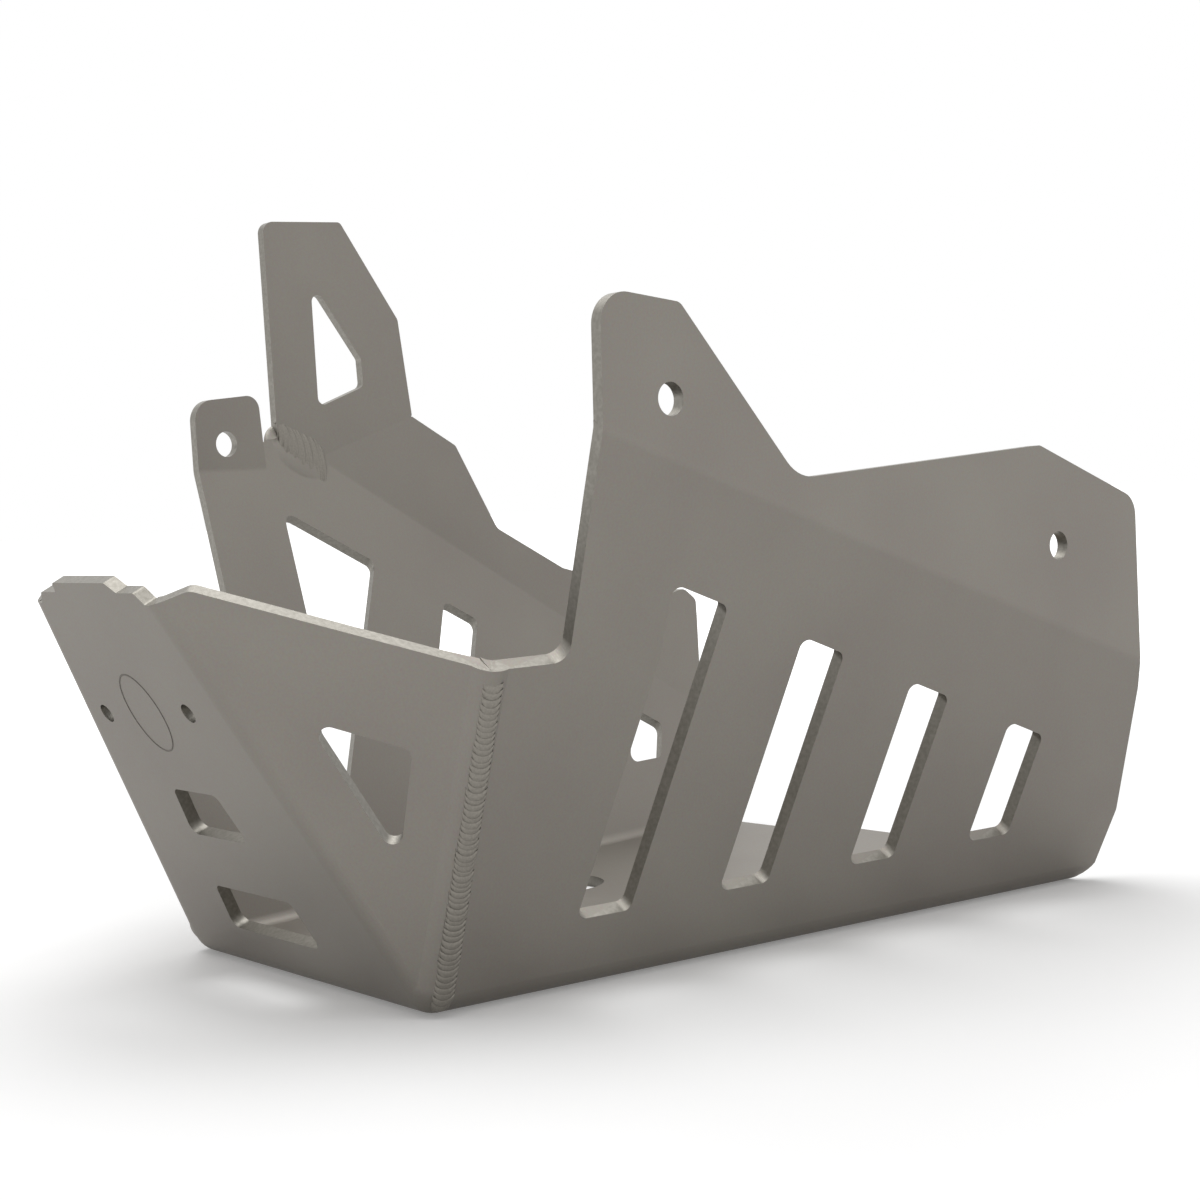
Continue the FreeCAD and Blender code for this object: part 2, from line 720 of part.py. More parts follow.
def check(doc, parts):
    for item in doc.Objects:
        faults = [state for state in item.State if state in ("Invalid", "Error")]
        if faults:
            raise RuntimeError(f"{item.Name} is {faults}")
    for item in parts:
        if item.Shape.isNull() or not item.Shape.isValid():
            raise RuntimeError(f"{item.Label} has no valid shape")
        if len(item.Shape.Solids) != 1:
            raise RuntimeError(f"{item.Label} has {len(item.Shape.Solids)} solids")


def main():
    doc, parts = build()
    check(doc, parts)
    os.makedirs("parts", exist_ok=True)
    for item in parts:
        solid = item.Shape.Solids[0]
        solid.exportStep(f"parts/{item.Label}.step")
        box = solid.BoundBox
        print(item.Label, round(solid.Volume), "mm3", round(box.XLength, 1), round(box.YLength, 1),
              round(box.ZLength, 1), "box", [round(v, 2) for v in (box.XMin, box.YMin, box.ZMin)])


main()
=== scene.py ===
import bmesh
import bpy
import math
import random
from mathutils import Matrix, Vector
from mathutils.bvhtree import BVHTree


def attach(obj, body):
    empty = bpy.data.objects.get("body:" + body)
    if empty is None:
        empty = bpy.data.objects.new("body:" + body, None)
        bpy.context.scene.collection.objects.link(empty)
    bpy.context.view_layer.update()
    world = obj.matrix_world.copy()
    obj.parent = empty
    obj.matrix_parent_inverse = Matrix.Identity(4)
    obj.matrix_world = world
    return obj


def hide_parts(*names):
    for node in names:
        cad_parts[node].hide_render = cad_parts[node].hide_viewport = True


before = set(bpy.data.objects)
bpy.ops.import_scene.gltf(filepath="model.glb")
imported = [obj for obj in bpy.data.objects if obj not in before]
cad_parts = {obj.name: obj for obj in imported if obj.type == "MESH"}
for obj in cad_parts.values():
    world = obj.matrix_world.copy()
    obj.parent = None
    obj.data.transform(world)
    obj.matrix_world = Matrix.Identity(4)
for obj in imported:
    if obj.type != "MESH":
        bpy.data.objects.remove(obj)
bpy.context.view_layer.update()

bl_info = {
    "name": "Skid plate",
    "version": (1, 0, 0),
    "blender": (4, 5, 0),
    "location": "3D View > Sidebar > Skid plate",
    "description": "A folded and welded aluminium skid plate on a pale studio floor",
    "category": "Object",
}

# Lengths are in metres. The plate's front is at -Y, and its near side wall at +X.
SHEET = 0.0045
# Where the metal behind a face is between these depths, the face is the sheet's own surface,
# and elsewhere it is a cut one.
FACE_DEPTH_LEAST = 0.6 * SHEET
FACE_DEPTH_MOST = 1.45 * SHEET
# The rays that find that depth start this far inside the face.
FACE_SKIN = 1e-5

# The line of the near corner between wing and side wall, and the way that the corner faces.
# The far corner is its mirror image.
CORNER_FOOT = Vector((0.075, -0.150, 0.0))
CORNER_TOP = Vector((0.1118, -0.146, 0.112))
CORNER_OUTWARD = Vector((0.862, -0.431, -0.268))
# The bottom fold's radius, and how far up a corner it reaches.
FOLD_RADIUS = 0.010
FOLD_REACH = 0.0076
# The roundness of the plain bead under a corner's weld.
BEAD_RADIUS = 0.0085

# A ripple is a flattened ball, 2 units wide. Its middle, so far to either side, is drawn back
# along the weld by so many half lengths, which bends the ball to a U.
RIPPLE_FLATNESS = 0.5
RIPPLE_MIDDLE = 0.12
RIPPLE_DRAW = 1.5

# A corner weld starts so far above its corner's foot and stops so far below its top.
CORNER_WELD_START = 0.0050
CORNER_WELD_STOP = 0.0022
# It lies a little more on the wall than on the wing: so far over at its foot, and so much less
# at its top. With that its ripples lean over to the wall, by this angle in radians at most.
WALL_SHIFT = 0.0034
WALL_SHIFT_LOSS = 0.0020
MOST_LEAN = 0.33
# Its ripples' half width at the top, what those at the foot have more, and how much all vary.
CORNER_HALF_WIDTH = 0.0032
CORNER_FOOT_WIDENING = 0.0009
CORNER_WIDTH_CHANCE = 0.00015
CORNER_HALF_LENGTH = 0.0018
CORNER_LENGTH_CHANCE = (-0.0001, 0.0002)
CORNER_HALF_HEIGHT = 0.0017
# How deep their middles lie under the plate's surface, and how much higher some lie.
CORNER_SINK = 0.00062
CORNER_SINK_CHANCE = 0.00014
# The share of its width and height that a ripple loses for each radian round the bottom fold.
FOLD_NARROWING = 1.2
FOLD_THINNING = 0.8
# How far a ripple's drawn middle is tipped up, and how far the ripple is rolled to the wing.
CORNER_TIP = math.radians(5)
CORNER_ROLL = math.radians(4)
# How much the distance from one ripple to the next varies.
PITCH_CHANCE = (0.85, 1.15)
CORNER_WELD_SEED = 7

# The tab weld's middle line on the far wall.
TAB_WELD_START = Vector((-0.1433, -0.0608, 0.1948))
TAB_WELD_END = Vector((-0.1416, -0.0425, 0.1828))
TAB_WELD_RIPPLES = 12
# The half width of its first ripples, what the last ones have more, and the two ends' share.
TAB_HALF_WIDTH = 0.0068
TAB_WIDENING = 0.0052
TAB_WIDTH_CHANCE = (0.96, 1.04)
TAB_END_SHARE = 0.86
TAB_HALF_LENGTH = 0.0020
TAB_LENGTH_CHANCE = (0.9, 1.1)
# Where a ripple's two ends meet the wall, as a share of its half width, and how deep they lie.
TAB_RIPPLE_SEAT = 0.85
TAB_SINK = 0.0009
# How far the ripples rise over the wall, by turns.
TAB_RISES = (0.0003, 0.0006)
TAB_TIP = math.radians(2)
TAB_WELD_SEED = 5
# The wall's surface is no further than this from the weld's middle line.
TAB_WALL_REACH = 0.012

# Rays that look for the plate's surface start this far off it.
RAY_START = 0.03

# The etched ring's middle on the front plate, the width of its line, and the plate's lean.
RING_PLACE = Vector((-0.0052, -0.20105, 0.0990))
RING_LINE = 0.0005
RING_FLATNESS = 0.5
PLATE_LEAN = math.radians(27.25)

# The floor lies a hair under the plate, so that their faces don't mix.
FLOOR_SIZE = 30
FLOOR_GAP = 0.0002
LAMP_PLACE = Vector((-0.25, -0.05, 1.8))
LAMP_TARGET = Vector((0, 0, 0.1))
# The camera's place, turn and lens, worked out from the photograph's vanishing points. The lens
# and the sensor are in millimetres, as Blender has them.
CAMERA_PLACE = (0.58634, -0.49853, 0.16396)
CAMERA_TURN = [math.radians(angle) for angle in (86.8729, 2.8582, 49.9613)]
CAMERA_LENS = 59.03
CAMERA_SENSOR = 36
CAMERA_NEAREST = 0.01


def to_linear(code):
    """An sRGB hex colour as the linear, opaque colour that the shaders take."""
    parts = [int(code[i:i + 2], 16) / 255 for i in (1, 3, 5)]
    return [p / 12.92 if p <= 0.04045 else ((p + 0.055) / 1.055) ** 2.4 for p in parts] + [1.0]


def node(tree, kind, settings=None, values=None, links=None):
    """Adds a shader node with its settings, socket values and incoming links."""
    made = tree.nodes.new(kind)
    for name, value in (settings or {}).items():
        setattr(made, name, value)
    for socket, value in (values or {}).items():
        made.inputs[socket].default_value = value
    for socket, source in (links or {}).items():
        tree.links.new(source, made.inputs[socket])
    return made


def ramp(made, stops):
    """Sets a colour ramp's stops from (position, colour) pairs."""
    elements = made.color_ramp.elements
    while len(elements) > 1:
        elements.remove(elements[-1])
    elements[0].position, elements[0].color = stops[0]
    for position, colour in stops[1:]:
        elements.new(position).color = colour
    return made


def new_material(name):
    """An empty material with its node tree."""
    made = bpy.data.materials.new(name)
    made.use_nodes = True
    made.node_tree.nodes.clear()
    return made, made.node_tree


def noise(tree, scale, detail, rough=0.5):
    """A noise pattern on the piece's own coordinates, at so many patches a metre."""
    place = node(tree, "ShaderNodeTexCoord")
    return node(tree, "ShaderNodeTexNoise",
                values={"Scale": scale, "Detail": detail, "Roughness": rough},
                links={"Vector": place.outputs["Object"]})


def tinted(tree, pattern, dark, light, start=0.3):
    """A pattern coloured from dark to light, both sRGB hex."""
    return ramp(node(tree, "ShaderNodeValToRGB", links={"Fac": pattern.outputs["Fac"]}),
                [(start, to_linear(dark)), (0.7, to_linear(light))]).outputs["Color"]


def metal(tree, tint, relief, rough, strength=0.12):
    """Makes a bare metal of its colour, its relief and its roughness, a number or a socket."""
    bump = node(tree, "ShaderNodeBump", values={"Strength": strength, "Distance": 0.0002},
                links={"Height": relief})
    shader = node(tree, "ShaderNodeBsdfPrincipled", values={"Metallic": 1.0},
                  links={"Base Color": tint, "Normal": bump.outputs["Normal"]})
    if isinstance(rough, float):
        shader.inputs["Roughness"].default_value = rough
    else:
        tree.links.new(rough, shader.inputs["Roughness"])
    node(tree, "ShaderNodeOutputMaterial", links={"Surface": shader.outputs["BSDF"]})


def painted_crevice_shade(tree, colour, dark, distance):
    """Painted shade: the colour, turned to a dark one where the surface closes in within a
    distance, as shade would fall there.
    """
    near = node(tree, "ShaderNodeAmbientOcclusion", {"samples": 8}, {"Distance": distance})
    # Full painted shade where less than 15 % of the surroundings is open, and none from 75 %.
    depth = ramp(node(tree, "ShaderNodeValToRGB", links={"Fac": near.outputs["AO"]}),
                 [(0.15, (1, 1, 1, 1)), (0.75, (0, 0, 0, 1))])
    mixed = node(tree, "ShaderNodeMix", {"data_type": "RGBA"}, {"B": to_linear(dark)},
                 {"Factor": depth.outputs["Color"], "A": colour})
    return mixed.outputs["Result"]


def blasted_aluminium(finish):
    """5052 aluminium sheet, bead blasted after folding: a dull warm grey with an
    even fine grain that breaks every reflection up into a soft sheen."""
    made, tree = new_material("blasted_aluminium")
    # The blast leaves patches about 70 mm across, a little lighter or darker.
    cloud = noise(tree, scale=14.0, detail=3.0)
    # Bead marks are 0.1 to 0.2 mm wide; drawn 0.8 mm wide so that they show.
    grain = noise(tree, scale=1200.0, detail=2.0, rough=0.6)
    tint = tinted(tree, cloud, finish.sheet_colour, finish.sheet_light_colour)
    speck = node(tree, "ShaderNodeMix", {"data_type": "RGBA", "blend_type": "OVERLAY"},
                 {"Factor": 0.12}, {"A": tint, "B": grain.outputs["Color"]})
    rough = node(tree, "ShaderNodeMapRange", values={"To Min": 0.46, "To Max": 0.58},
                 links={"Value": grain.outputs["Fac"]})
    metal(tree, speck.outputs["Result"], grain.outputs["Fac"], rough.outputs["Result"])
    return made


def cut_aluminium(finish):
    """The laser-cut and filed edge of the same sheet: a little brighter than its
    faces, with fine streaks, and painted shade that turns it near black inside the small holes."""
    made, tree = new_material("cut_aluminium")
    # Cutting lines are 0.3 mm apart; drawn 1.4 mm apart so that they show.
    lines = noise(tree, scale=700.0, detail=2.0)
    tint = tinted(tree, lines, finish.cut_colour, finish.cut_light_colour)
    # Painted shade: the cut faces turn near black where the plate closes in within 6 mm, as
    # inside the small holes.
    shaded = painted_crevice_shade(tree, tint, dark="#2A2825", distance=0.006)
    metal(tree, shaded, lines.outputs["Fac"], rough=0.44)
    return made


def welded_aluminium(finish):
    """TIG-welded 5356 filler on the same sheet, brushed clean: a little smoother
    than the blasted faces, with painted shade darkening the valleys between its ripples."""
    made, tree = new_material("welded_aluminium")
    # Oxide freckles are about 0.2 mm wide; drawn 0.7 mm wide so that they show.
    freckle = noise(tree, scale=1500.0, detail=3.0)
    tint = tinted(tree, freckle, finish.weld_colour, finish.weld_light_colour, start=0.35)
    # Painted shade: darker where the ripples close in within 0.6 mm, in the valleys between them
    # and where they meet the plate.
    shaded = painted_crevice_shade(tree, tint, dark="#625E57", distance=0.0006)
    metal(tree, shaded, freckle.outputs["Fac"], rough=0.45, strength=0.02)
    return made


def etched_aluminium(finish):
    """The same sheet where a plain ring is etched into it: matt and darker."""
    made, tree = new_material("etched_aluminium")
    # Etching pits are 0.05 mm wide; drawn 0.5 mm wide so that they show.
    pits = noise(tree, scale=2000.0, detail=2.0)
    tint = tinted(tree, pits, finish.etched_colour, finish.sheet_colour)
    metal(tree, tint, pits.outputs["Fac"], rough=0.7)
    return made


class PlateFinish(bpy.types.PropertyGroup):
    """The colours of the plate's metal, and the sizes of its small finish"""
    sheet_colour: bpy.props.StringProperty(
        name="Sheet", description="Colour of the blasted sheet, sRGB hex", default="#847F79")
    sheet_light_colour: bpy.props.StringProperty(
        name="Sheet, light", description="Lighter patches of the blasted sheet, sRGB hex",
        default="#89857E")
    cut_colour: bpy.props.StringProperty(
        name="Cut edge", description="Colour of the cut edges, sRGB hex", default="#7F7C75")
    cut_light_colour: bpy.props.StringProperty(
        name="Cut edge, light", description="Lighter streaks of the cut edges, sRGB hex",
        default="#8E8B84")
    weld_colour: bpy.props.StringProperty(
        name="Weld", description="Colour of the welds, sRGB hex", default="#807C75")
    weld_light_colour: bpy.props.StringProperty(
        name="Weld, light", description="Lighter freckles of the welds, sRGB hex",
        default="#8B877F")
    etched_colour: bpy.props.StringProperty(
        name="Etching", description="Colour of the etched ring, sRGB hex", default="#6E6B65")
    edge_bevel: bpy.props.FloatProperty(
        name="Edge break", description="Width of the filed bevel on the cut edges",
        default=0.0005, unit="LENGTH")
    ripple_pitch: bpy.props.FloatProperty(
        name="Ripple pitch", description="Distance from one corner ripple to the next",
        default=0.00195, unit="LENGTH")
    ring_width: bpy.props.FloatProperty(
        name="Ring width", description="Width of the etched ring", default=0.022, unit="LENGTH")
    ring_height: bpy.props.FloatProperty(
        name="Ring height", description="Height of the etched ring", default=0.0300,
        unit="LENGTH")


class StudioSettings(bpy.types.PropertyGroup):
    """The floor and the light"""
    floor_colour: bpy.props.StringProperty(
        name="Floor", description="Colour of the floor, sRGB hex", default="#F4F4F4")
    floor_lift: bpy.props.FloatProperty(
        name="Floor lift", description="How much paler the floor looks than it is lit",
        default=0.18)
    fade_start: bpy.props.FloatProperty(
        name="Fade start", description="Distance at which the floor starts to turn white",
        default=0.35, unit="LENGTH")
    fade_end: bpy.props.FloatProperty(
        name="Fade end", description="Distance from which the floor is all white",
        default=1.6, unit="LENGTH")
    lamp_power: bpy.props.FloatProperty(
        name="Overhead light", description="Power of the large soft light above",
        default=30.0, unit="POWER")
    lamp_size: bpy.props.FloatProperty(
        name="Overhead size", description="Width of the large soft light above",
        default=2.0, unit="LENGTH")
    surround: bpy.props.FloatProperty(
        name="Surround", description="Strength of the studio's white surround", default=0.35)


def copy_of(cad_node, name):
    """A merged copy of a CAD node, with a mesh of its own, selected and active."""
    bpy.ops.object.select_all(action="DESELECT")
    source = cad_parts[cad_node]
    source.select_set(True)
    bpy.context.view_layer.objects.active = source
    bpy.ops.object.duplicate()
    made = bpy.context.view_layer.objects.active
    # The copy is no CAD node, so it loses the marks of one.
    for key in [k for k in made.keys() if k.startswith("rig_")]:
        del made[key]
    made.parent = None
    made.name = name
    made.data.name = name
    made.data.materials.clear()
    bpy.ops.object.mode_set(mode="EDIT")
    bpy.ops.mesh.select_all(action="SELECT")
    bpy.ops.mesh.remove_doubles(threshold=1e-6)
    bpy.ops.mesh.select_all(action="DESELECT")
    bpy.ops.object.mode_set(mode="OBJECT")
    return made


class OBJECT_OT_dressed_plate(bpy.types.Operator):
    """The folded plate, with filed edges and lighter cut faces"""
    bl_idname = "object.dressed_plate"
    bl_label = "Plate"

    def execute(self, context):
        finish = context.scene.plate_finish
        plate = copy_of("skid_plate", "plate")
        plate.data.materials.append(blasted_aluminium(finish))
        plate.data.materials.append(cut_aluminium(finish))
        self.tell_cut_faces(plate)

        # The CAD's triangles become whole faces again, so that the bevel finds the true edges.
        bpy.ops.object.mode_set(mode="EDIT")
        bpy.ops.mesh.select_all(action="SELECT")
        bpy.ops.mesh.dissolve_limited(angle_limit=math.radians(0.5), delimit={"MATERIAL"})
        bpy.ops.object.mode_set(mode="OBJECT")
        bevel = plate.modifiers.new("edge_break", "BEVEL")
        bevel.width = finish.edge_bevel
        bevel.segments = 2
        bevel.limit_method = "ANGLE"
        bevel.angle_limit = math.radians(40)
        bpy.ops.object.modifier_apply(modifier=bevel.name)
        bpy.ops.object.shade_smooth_by_angle(angle=math.radians(35))
        flat = plate.modifiers.new("flat_faces", "WEIGHTED_NORMAL")
        flat.keep_sharp = True
        bpy.ops.object.modifier_apply(modifier=flat.name)
        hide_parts("skid_plate")
        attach(plate, "root")
        return {"FINISHED"}

    def tell_cut_faces(self, plate):
        """Gives the sheet's own surfaces the first material and the cut faces the second."""
        shape = bmesh.new()
        shape.from_mesh(plate.data)
        tree = BVHTree.FromBMesh(shape)
        for face in shape.faces:
            inside = face.calc_center_median() - face.normal * FACE_SKIN
            depth = tree.ray_cast(inside, -face.normal)[3]
            thin = depth is not None and FACE_DEPTH_LEAST < depth < FACE_DEPTH_MOST
            face.material_index = 0 if thin else 1
        shape.to_mesh(plate.data)
        shape.free()


def cad_surface():
    """The CAD plate's surface, to set the welds on."""
    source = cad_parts["skid_plate"]
    shape = bmesh.new()
    shape.from_mesh(source.data)
    shape.transform(source.matrix_world)
    tree = BVHTree.FromBMesh(shape)
    shape.free()
    return tree


def weld_material():
    """The material of all welds, made with the first of them."""
    made = bpy.data.materials.get("welded_aluminium")
    return made or welded_aluminium(bpy.context.scene.plate_finish)


def ripple():
    """One frozen ripple of a weld: a flattened ball with its middle drawn back towards -Y."""
    bpy.ops.object.select_all(action="DESELECT")
    bpy.ops.mesh.primitive_uv_sphere_add(segments=32, ring_count=16, radius=1)
    made = bpy.context.object
    bpy.ops.object.mode_set(mode="EDIT")
    bpy.ops.mesh.select_all(action="SELECT")
    bpy.ops.transform.resize(value=(1, 1, RIPPLE_FLATNESS))
    bpy.ops.mesh.select_all(action="DESELECT")
    bpy.ops.object.mode_set(mode="OBJECT")
    shape = bmesh.new()
    shape.from_mesh(made.data)
    for corner in shape.verts:
        corner.select = abs(corner.co.x) < RIPPLE_MIDDLE
    shape.select_flush_mode()
    shape.to_mesh(made.data)
    shape.free()
    bpy.ops.object.mode_set(mode="EDIT")
    bpy.ops.transform.translate(value=(0, -RIPPLE_DRAW, 0), use_proportional_edit=True,
                                proportional_edit_falloff="SPHERE", proportional_size=1.0)
    bpy.ops.object.mode_set(mode="OBJECT")
    return made


def placing(along, outward, place, sizes, tip, roll=0.0):
    """The matrix that lays a ripple at a place of a weld that runs along a line. Its width lies
    across the line and its back looks outward. A tip lifts the middle that was drawn back, and
    a roll turns the ripple about the line."""
    across = along.cross(outward).normalized()
    turn = Matrix((across, along, across.cross(along))).transposed().to_4x4()
    lift = Matrix.Rotation(-roll, 4, "Y") @ Matrix.Rotation(-tip, 4, "X")
    return Matrix.Translation(place) @ turn @ lift @ Matrix.Diagonal((*sizes, 1))


def laid(source, matrix):
    """A copy of the ripple, with its own mesh, laid where a matrix puts it."""
    bpy.ops.object.select_all(action="DESELECT")
    source.select_set(True)
    bpy.context.view_layer.objects.active = source
    bpy.ops.object.duplicate()
    made = bpy.context.view_layer.objects.active
    made.matrix_world = matrix
    return made


def run_together(ripples, name):
    """The ripples of one weld as one piece, each lapping over the one before."""
    bpy.ops.object.select_all(action="DESELECT")
    for made in ripples:
        made.select_set(True)
    bpy.context.view_layer.objects.active = ripples[0]
    bpy.ops.object.transform_apply(location=True, rotation=True, scale=True)
    bpy.ops.object.join()
    weld = bpy.context.object
    weld.name = name
    weld.data.name = name
    bpy.ops.object.shade_smooth()
    weld.data.materials.append(weld_material())
    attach(weld, "root")


class OBJECT_OT_corner_welds(bpy.types.Operator):
    """The rippled welds up the corners between the wings and the side walls"""
    bl_idname = "object.corner_welds"
    bl_label = "Corner welds"

    def execute(self, context):
        pitch = context.scene.plate_finish.ripple_pitch
        surface = cad_surface()
        source = ripple()
        for name, side in (("near_weld", 1), ("far_weld", -1)):
            run_together(self.ripples_up(name, side, surface, source, pitch), name)
        bpy.data.objects.remove(source)
        return {"FINISHED"}

    def ripples_up(self, name, side, surface, source, pitch):
        """The ripples of one corner, from its foot up. The near corner's side is 1."""
        chance = random.Random(CORNER_WELD_SEED + side)
        mirror = Vector((side, 1, 1))
        foot = CORNER_FOOT * mirror
        along = (CORNER_TOP * mirror - foot).normalized()
        run = (CORNER_TOP - CORNER_FOOT).length
        outward = CORNER_OUTWARD * mirror
        outward = (outward - along * outward.dot(along)).normalized()
        wall_side = along.cross(outward) * side
        ripples = []
        reach = CORNER_WELD_START
        while reach < run - CORNER_WELD_STOP:
            # Round the bottom fold the weld turns under with the sheet, by this angle.
            under = max(0.0, FOLD_REACH - reach) / FOLD_RADIUS
            turn = Matrix.Rotation(under * side, 3, wall_side)
            hinge = foot + along * max(reach, FOLD_REACH) - outward * FOLD_RADIUS
            outside = turn @ outward
            offset = (WALL_SHIFT - WALL_SHIFT_LOSS * reach / run) * (1 - under)
            lean = min(offset / BEAD_RADIUS, MOST_LEAN)
            facing = outside * math.cos(lean) + wall_side * math.sin(lean)
            hit = surface.ray_cast(hinge + outside * RAY_START + wall_side * offset, -outside)[0]
            if hit is None:
                raise RuntimeError(f"{name} misses the plate at {reach:.4f} m")

            wide = CORNER_HALF_WIDTH + CORNER_FOOT_WIDENING * (1 - reach / run)
            wide += chance.uniform(-CORNER_WIDTH_CHANCE, CORNER_WIDTH_CHANCE)
            wide *= 1 - FOLD_NARROWING * under
            place = hit - facing * (CORNER_SINK - chance.uniform(0, CORNER_SINK_CHANCE))
            length = CORNER_HALF_LENGTH + chance.uniform(*CORNER_LENGTH_CHANCE)
            height = CORNER_HALF_HEIGHT * (1 - FOLD_THINNING * under)
            matrix = placing(turn @ along, facing, place, (wide, length, height),
                             CORNER_TIP, CORNER_ROLL * side)
            ripples.append(laid(source, matrix))
            reach += pitch * chance.uniform(*PITCH_CHANCE)
        return ripples


class OBJECT_OT_tab_weld(bpy.types.Operator):
    """The puddle of weld at the foot of the far wall's tall tab"""
    bl_idname = "object.tab_weld"
    bl_label = "Tab weld"

    def execute(self, context):
        surface = cad_surface()
        source = ripple()
        chance = random.Random(TAB_WELD_SEED)
        last = TAB_WELD_RIPPLES - 1
        ripples = []
        for step in range(TAB_WELD_RIPPLES):
            way = step / last
            seat = TAB_WELD_START.lerp(TAB_WELD_END, way)
            wide = (TAB_HALF_WIDTH + TAB_WIDENING * way) * chance.uniform(*TAB_WIDTH_CHANCE)
            if step in (0, last):
                wide *= TAB_END_SHARE
            # The ripple stands upright across the fold, with both ends sunk, so that they run
            # out flat.
            middle, upper, lower = (self.on_wall(surface, seat, wide * share)
                                    for share in (0, TAB_RIPPLE_SEAT, -TAB_RIPPLE_SEAT))
            down = (lower - upper).normalized()
            inward = down.cross(Vector((0, 1, 0))).normalized()
            length = TAB_HALF_LENGTH * chance.uniform(*TAB_LENGTH_CHANCE)
            base = (upper + lower) / 2 - inward * TAB_SINK
            rise = max(TAB_SINK, (middle - base).dot(inward)) + TAB_RISES[step % 2]
            # Its middle is drawn back, so its ends stand that much further forward.
            base.y -= RIPPLE_DRAW * length
            sizes = (wide, length, rise / RIPPLE_FLATNESS)
            matrix = placing(down.cross(inward), inward, base, sizes, TAB_TIP)
            ripples.append(laid(source, matrix))
        run_together(ripples, "tab_weld")
        bpy.data.objects.remove(source)
        return {"FINISHED"}

    def on_wall(self, surface, seat, height):
        """The point of the far wall's inner face at a height above the weld's middle line."""
        aim = seat + Vector((RAY_START, 0, height))
        hit = surface.ray_cast(aim, Vector((-1, 0, 0)))[0]
        if hit is None or abs(hit.x - seat.x) > TAB_WALL_REACH:
            raise RuntimeError(f"the tab weld misses the far wall at {aim.y:.4f}, {aim.z:.4f}")
        return hit


class OBJECT_OT_badge_ring(bpy.types.Operator):
    """The plain ring that is etched between the front plate's two small holes"""
    bl_idname = "object.badge_ring"
    bl_label = "Etched ring"

    def execute(self, context):
        finish = context.scene.plate_finish
        bpy.ops.object.select_all(action="DESELECT")
        bpy.ops.mesh.primitive_torus_add(major_radius=finish.ring_width / 2,
                                         minor_radius=RING_LINE / 2,
                                         major_segments=96, minor_segments=10)
        ring = context.object
        ring.name = "badge_ring"
        ring.data.name = "badge_ring"
        bpy.ops.object.mode_set(mode="EDIT")
        bpy.ops.mesh.select_all(action="SELECT")
        tall = finish.ring_height / finish.ring_width
        bpy.ops.transform.resize(value=(1, tall, RING_FLATNESS))
        bpy.ops.object.mode_set(mode="OBJECT")
        ring.location = RING_PLACE
        ring.rotation_euler = (math.radians(90) + PLATE_LEAN, 0, 0)
        bpy.ops.object.transform_apply(location=True, rotation=True, scale=True)
        bpy.ops.object.shade_smooth()
        ring.data.materials.append(etched_aluminium(finish))
        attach(ring, "root")
        return {"FINISHED"}


def background_rays(tree):
    """One for the rays that show a background: the camera's, glossy and transmission ones."""
    path = node(tree, "ShaderNodeLightPath")
    first = node(tree, "ShaderNodeMath", {"operation": "MAXIMUM"},
                 links={0: path.outputs["Is Camera Ray"], 1: path.outputs["Is Glossy Ray"]})
    both = node(tree, "ShaderNodeMath", {"operation": "MAXIMUM"},
                links={0: first.outputs["Value"], 1: path.outputs["Is Transmission Ray"]})
    return both.outputs["Value"]


def pale_floor(studio):
    """Matt white card, evenly pale, that turns into the white backdrop away from the plate."""
    made, tree = new_material("pale_floor")
    rays = background_rays(tree)
    card = node(tree, "ShaderNodeBsdfDiffuse", values={"Color": to_linear(studio.floor_colour)})
    place = node(tree, "ShaderNodeTexCoord").outputs["Object"]
    away = node(tree, "ShaderNodeVectorMath", {"operation": "LENGTH"}, links={0: place})
    fade = node(tree, "ShaderNodeMapRange", {"interpolation_type": "SMOOTHSTEP"},
                {"From Min": studio.fade_start, "From Max": studio.fade_end,
                 "To Min": studio.floor_lift, "To Max": 1.0},
                {"Value": away.outputs["Value"]})
    lift = node(tree, "ShaderNodeMath", {"operation": "MULTIPLY"},
                links={0: rays, 1: fade.outputs["Result"]})
    glow = node(tree, "ShaderNodeEmission", links={"Strength": lift.outputs["Value"]})
    both = node(tree, "ShaderNodeAddShader",
                links={0: card.outputs["BSDF"], 1: glow.outputs["Emission"]})
    node(tree, "ShaderNodeOutputMaterial", links={"Surface": both.outputs["Shader"]})
    return made


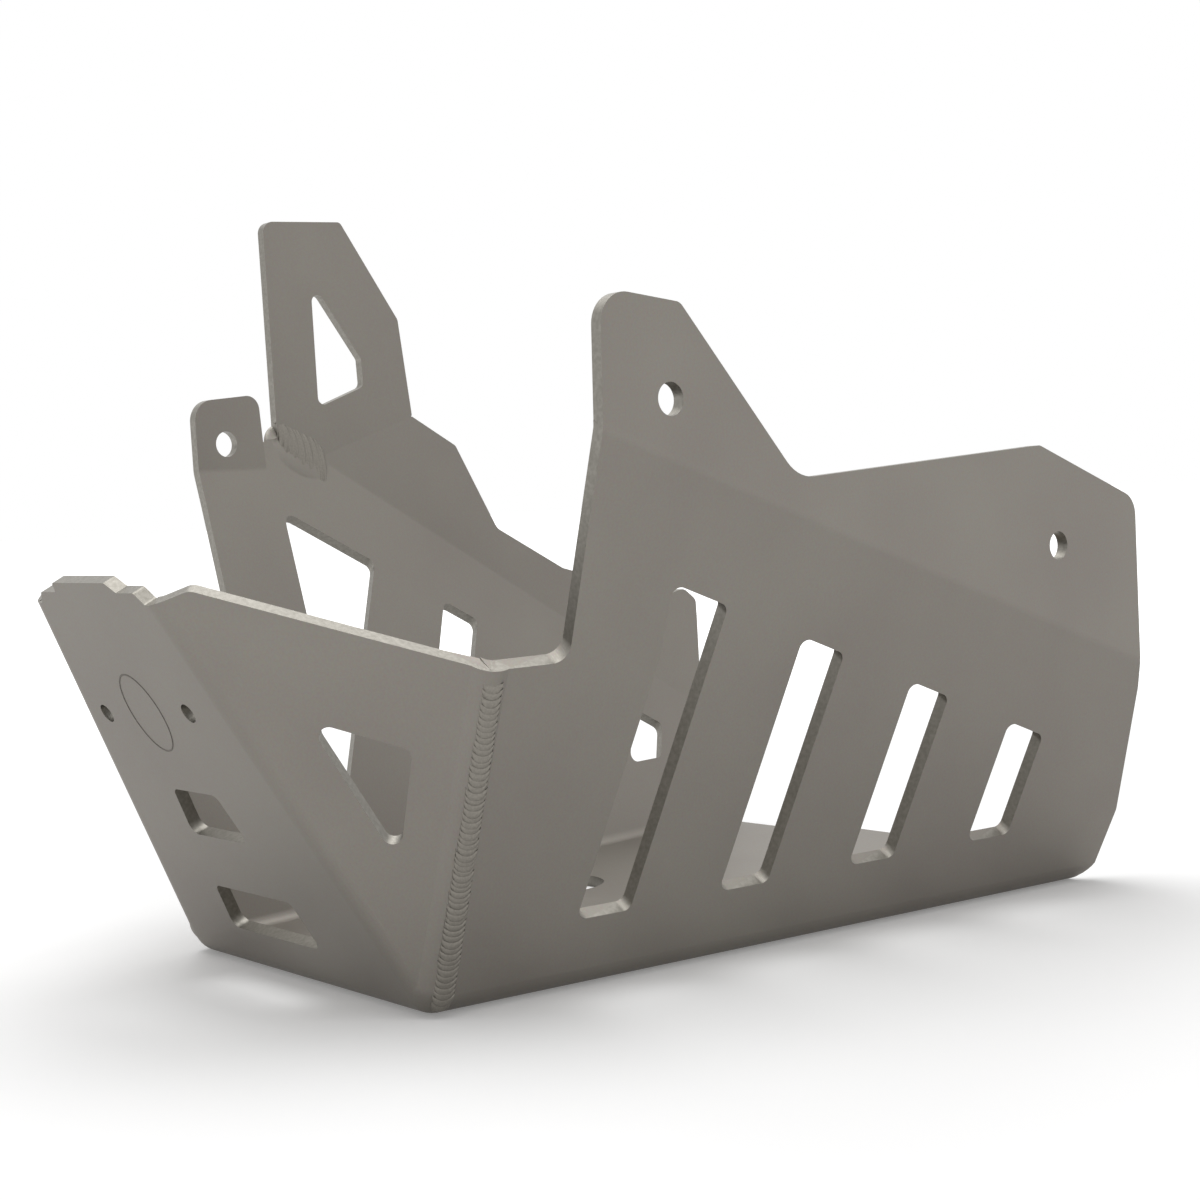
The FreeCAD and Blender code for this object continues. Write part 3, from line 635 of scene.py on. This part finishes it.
class OBJECT_OT_studio(bpy.types.Operator):
    """The pale floor, the soft light and the camera"""
    bl_idname = "object.skid_plate_studio"
    bl_label = "Studio"

    def execute(self, context):
        studio = context.scene.plate_studio
        self.lay_floor(studio)
        self.light_surround(context.scene, studio)
        self.hang_lamp(studio)
        self.set_camera(context.scene)
        context.scene.view_settings.view_transform = "Standard"
        return {"FINISHED"}

    def lay_floor(self, studio):
        """One wide flat card under the plate."""
        bpy.ops.object.select_all(action="DESELECT")
        bpy.ops.mesh.primitive_plane_add(size=FLOOR_SIZE, location=(0, 0, -FLOOR_GAP))
        floor = bpy.context.object
        floor.name = "floor"
        floor.data.materials.append(pale_floor(studio))

    def light_surround(self, scene, studio):
        """A white world that lights the plate softly, and shows as plain white."""
        world = scene.world or bpy.data.worlds.new("studio")
        scene.world = world
        world.use_nodes = True
        tree = world.node_tree
        tree.nodes.clear()
        strength = node(tree, "ShaderNodeMapRange",
                        values={"To Min": studio.surround, "To Max": 1.0},
                        links={"Value": background_rays(tree)})
        white = node(tree, "ShaderNodeBackground", values={"Color": (1, 1, 1, 1)},
                     links={"Strength": strength.outputs["Result"]})
        node(tree, "ShaderNodeOutputWorld", links={"Surface": white.outputs["Background"]})

    def hang_lamp(self, studio):
        """One large soft lamp above, turned to the plate."""
        bpy.ops.object.light_add(type="AREA", location=LAMP_PLACE)
        lamp = bpy.context.object
        lamp.name = "overhead"
        lamp.data.size = studio.lamp_size
        lamp.data.energy = studio.lamp_power
        aim = LAMP_TARGET - LAMP_PLACE
        lamp.rotation_euler = aim.to_track_quat("-Z", "Y").to_euler()

    def set_camera(self, scene):
        """The camera at the photograph's viewing angle."""
        bpy.ops.object.camera_add(location=CAMERA_PLACE)
        camera = bpy.context.object
        camera.rotation_euler = CAMERA_TURN
        camera.data.lens = CAMERA_LENS
        camera.data.sensor_width = CAMERA_SENSOR
        camera.data.clip_start = CAMERA_NEAREST
        scene.camera = camera


class VIEW3D_PT_skid_plate(bpy.types.Panel):
    """Lists the plate's finish, its studio and the steps that make them"""
    bl_idname = "VIEW3D_PT_skid_plate"
    bl_label = "Skid plate"
    bl_space_type = "VIEW_3D"
    bl_region_type = "UI"
    bl_category = "Skid plate"

    def draw(self, context):
        for group in (context.scene.plate_finish, context.scene.plate_studio):
            for name in type(group).__annotations__:
                self.layout.prop(group, name)
        for step in STEPS:
            self.layout.operator(step.bl_idname)


STEPS = (OBJECT_OT_dressed_plate, OBJECT_OT_corner_welds, OBJECT_OT_tab_weld,
         OBJECT_OT_badge_ring, OBJECT_OT_studio)
CLASSES = (PlateFinish, StudioSettings, *STEPS, VIEW3D_PT_skid_plate)


def register():
    for made in CLASSES:
        bpy.utils.register_class(made)
    bpy.types.Scene.plate_finish = bpy.props.PointerProperty(type=PlateFinish)
    bpy.types.Scene.plate_studio = bpy.props.PointerProperty(type=StudioSettings)


def unregister():
    del bpy.types.Scene.plate_studio
    del bpy.types.Scene.plate_finish
    for made in reversed(CLASSES):
        bpy.utils.unregister_class(made)


def main():
    register()
    bpy.ops.object.dressed_plate()
    bpy.ops.object.corner_welds()
    bpy.ops.object.tab_weld()
    bpy.ops.object.badge_ring()
    bpy.ops.object.skid_plate_studio()


if __name__ == "__main__":
    main()
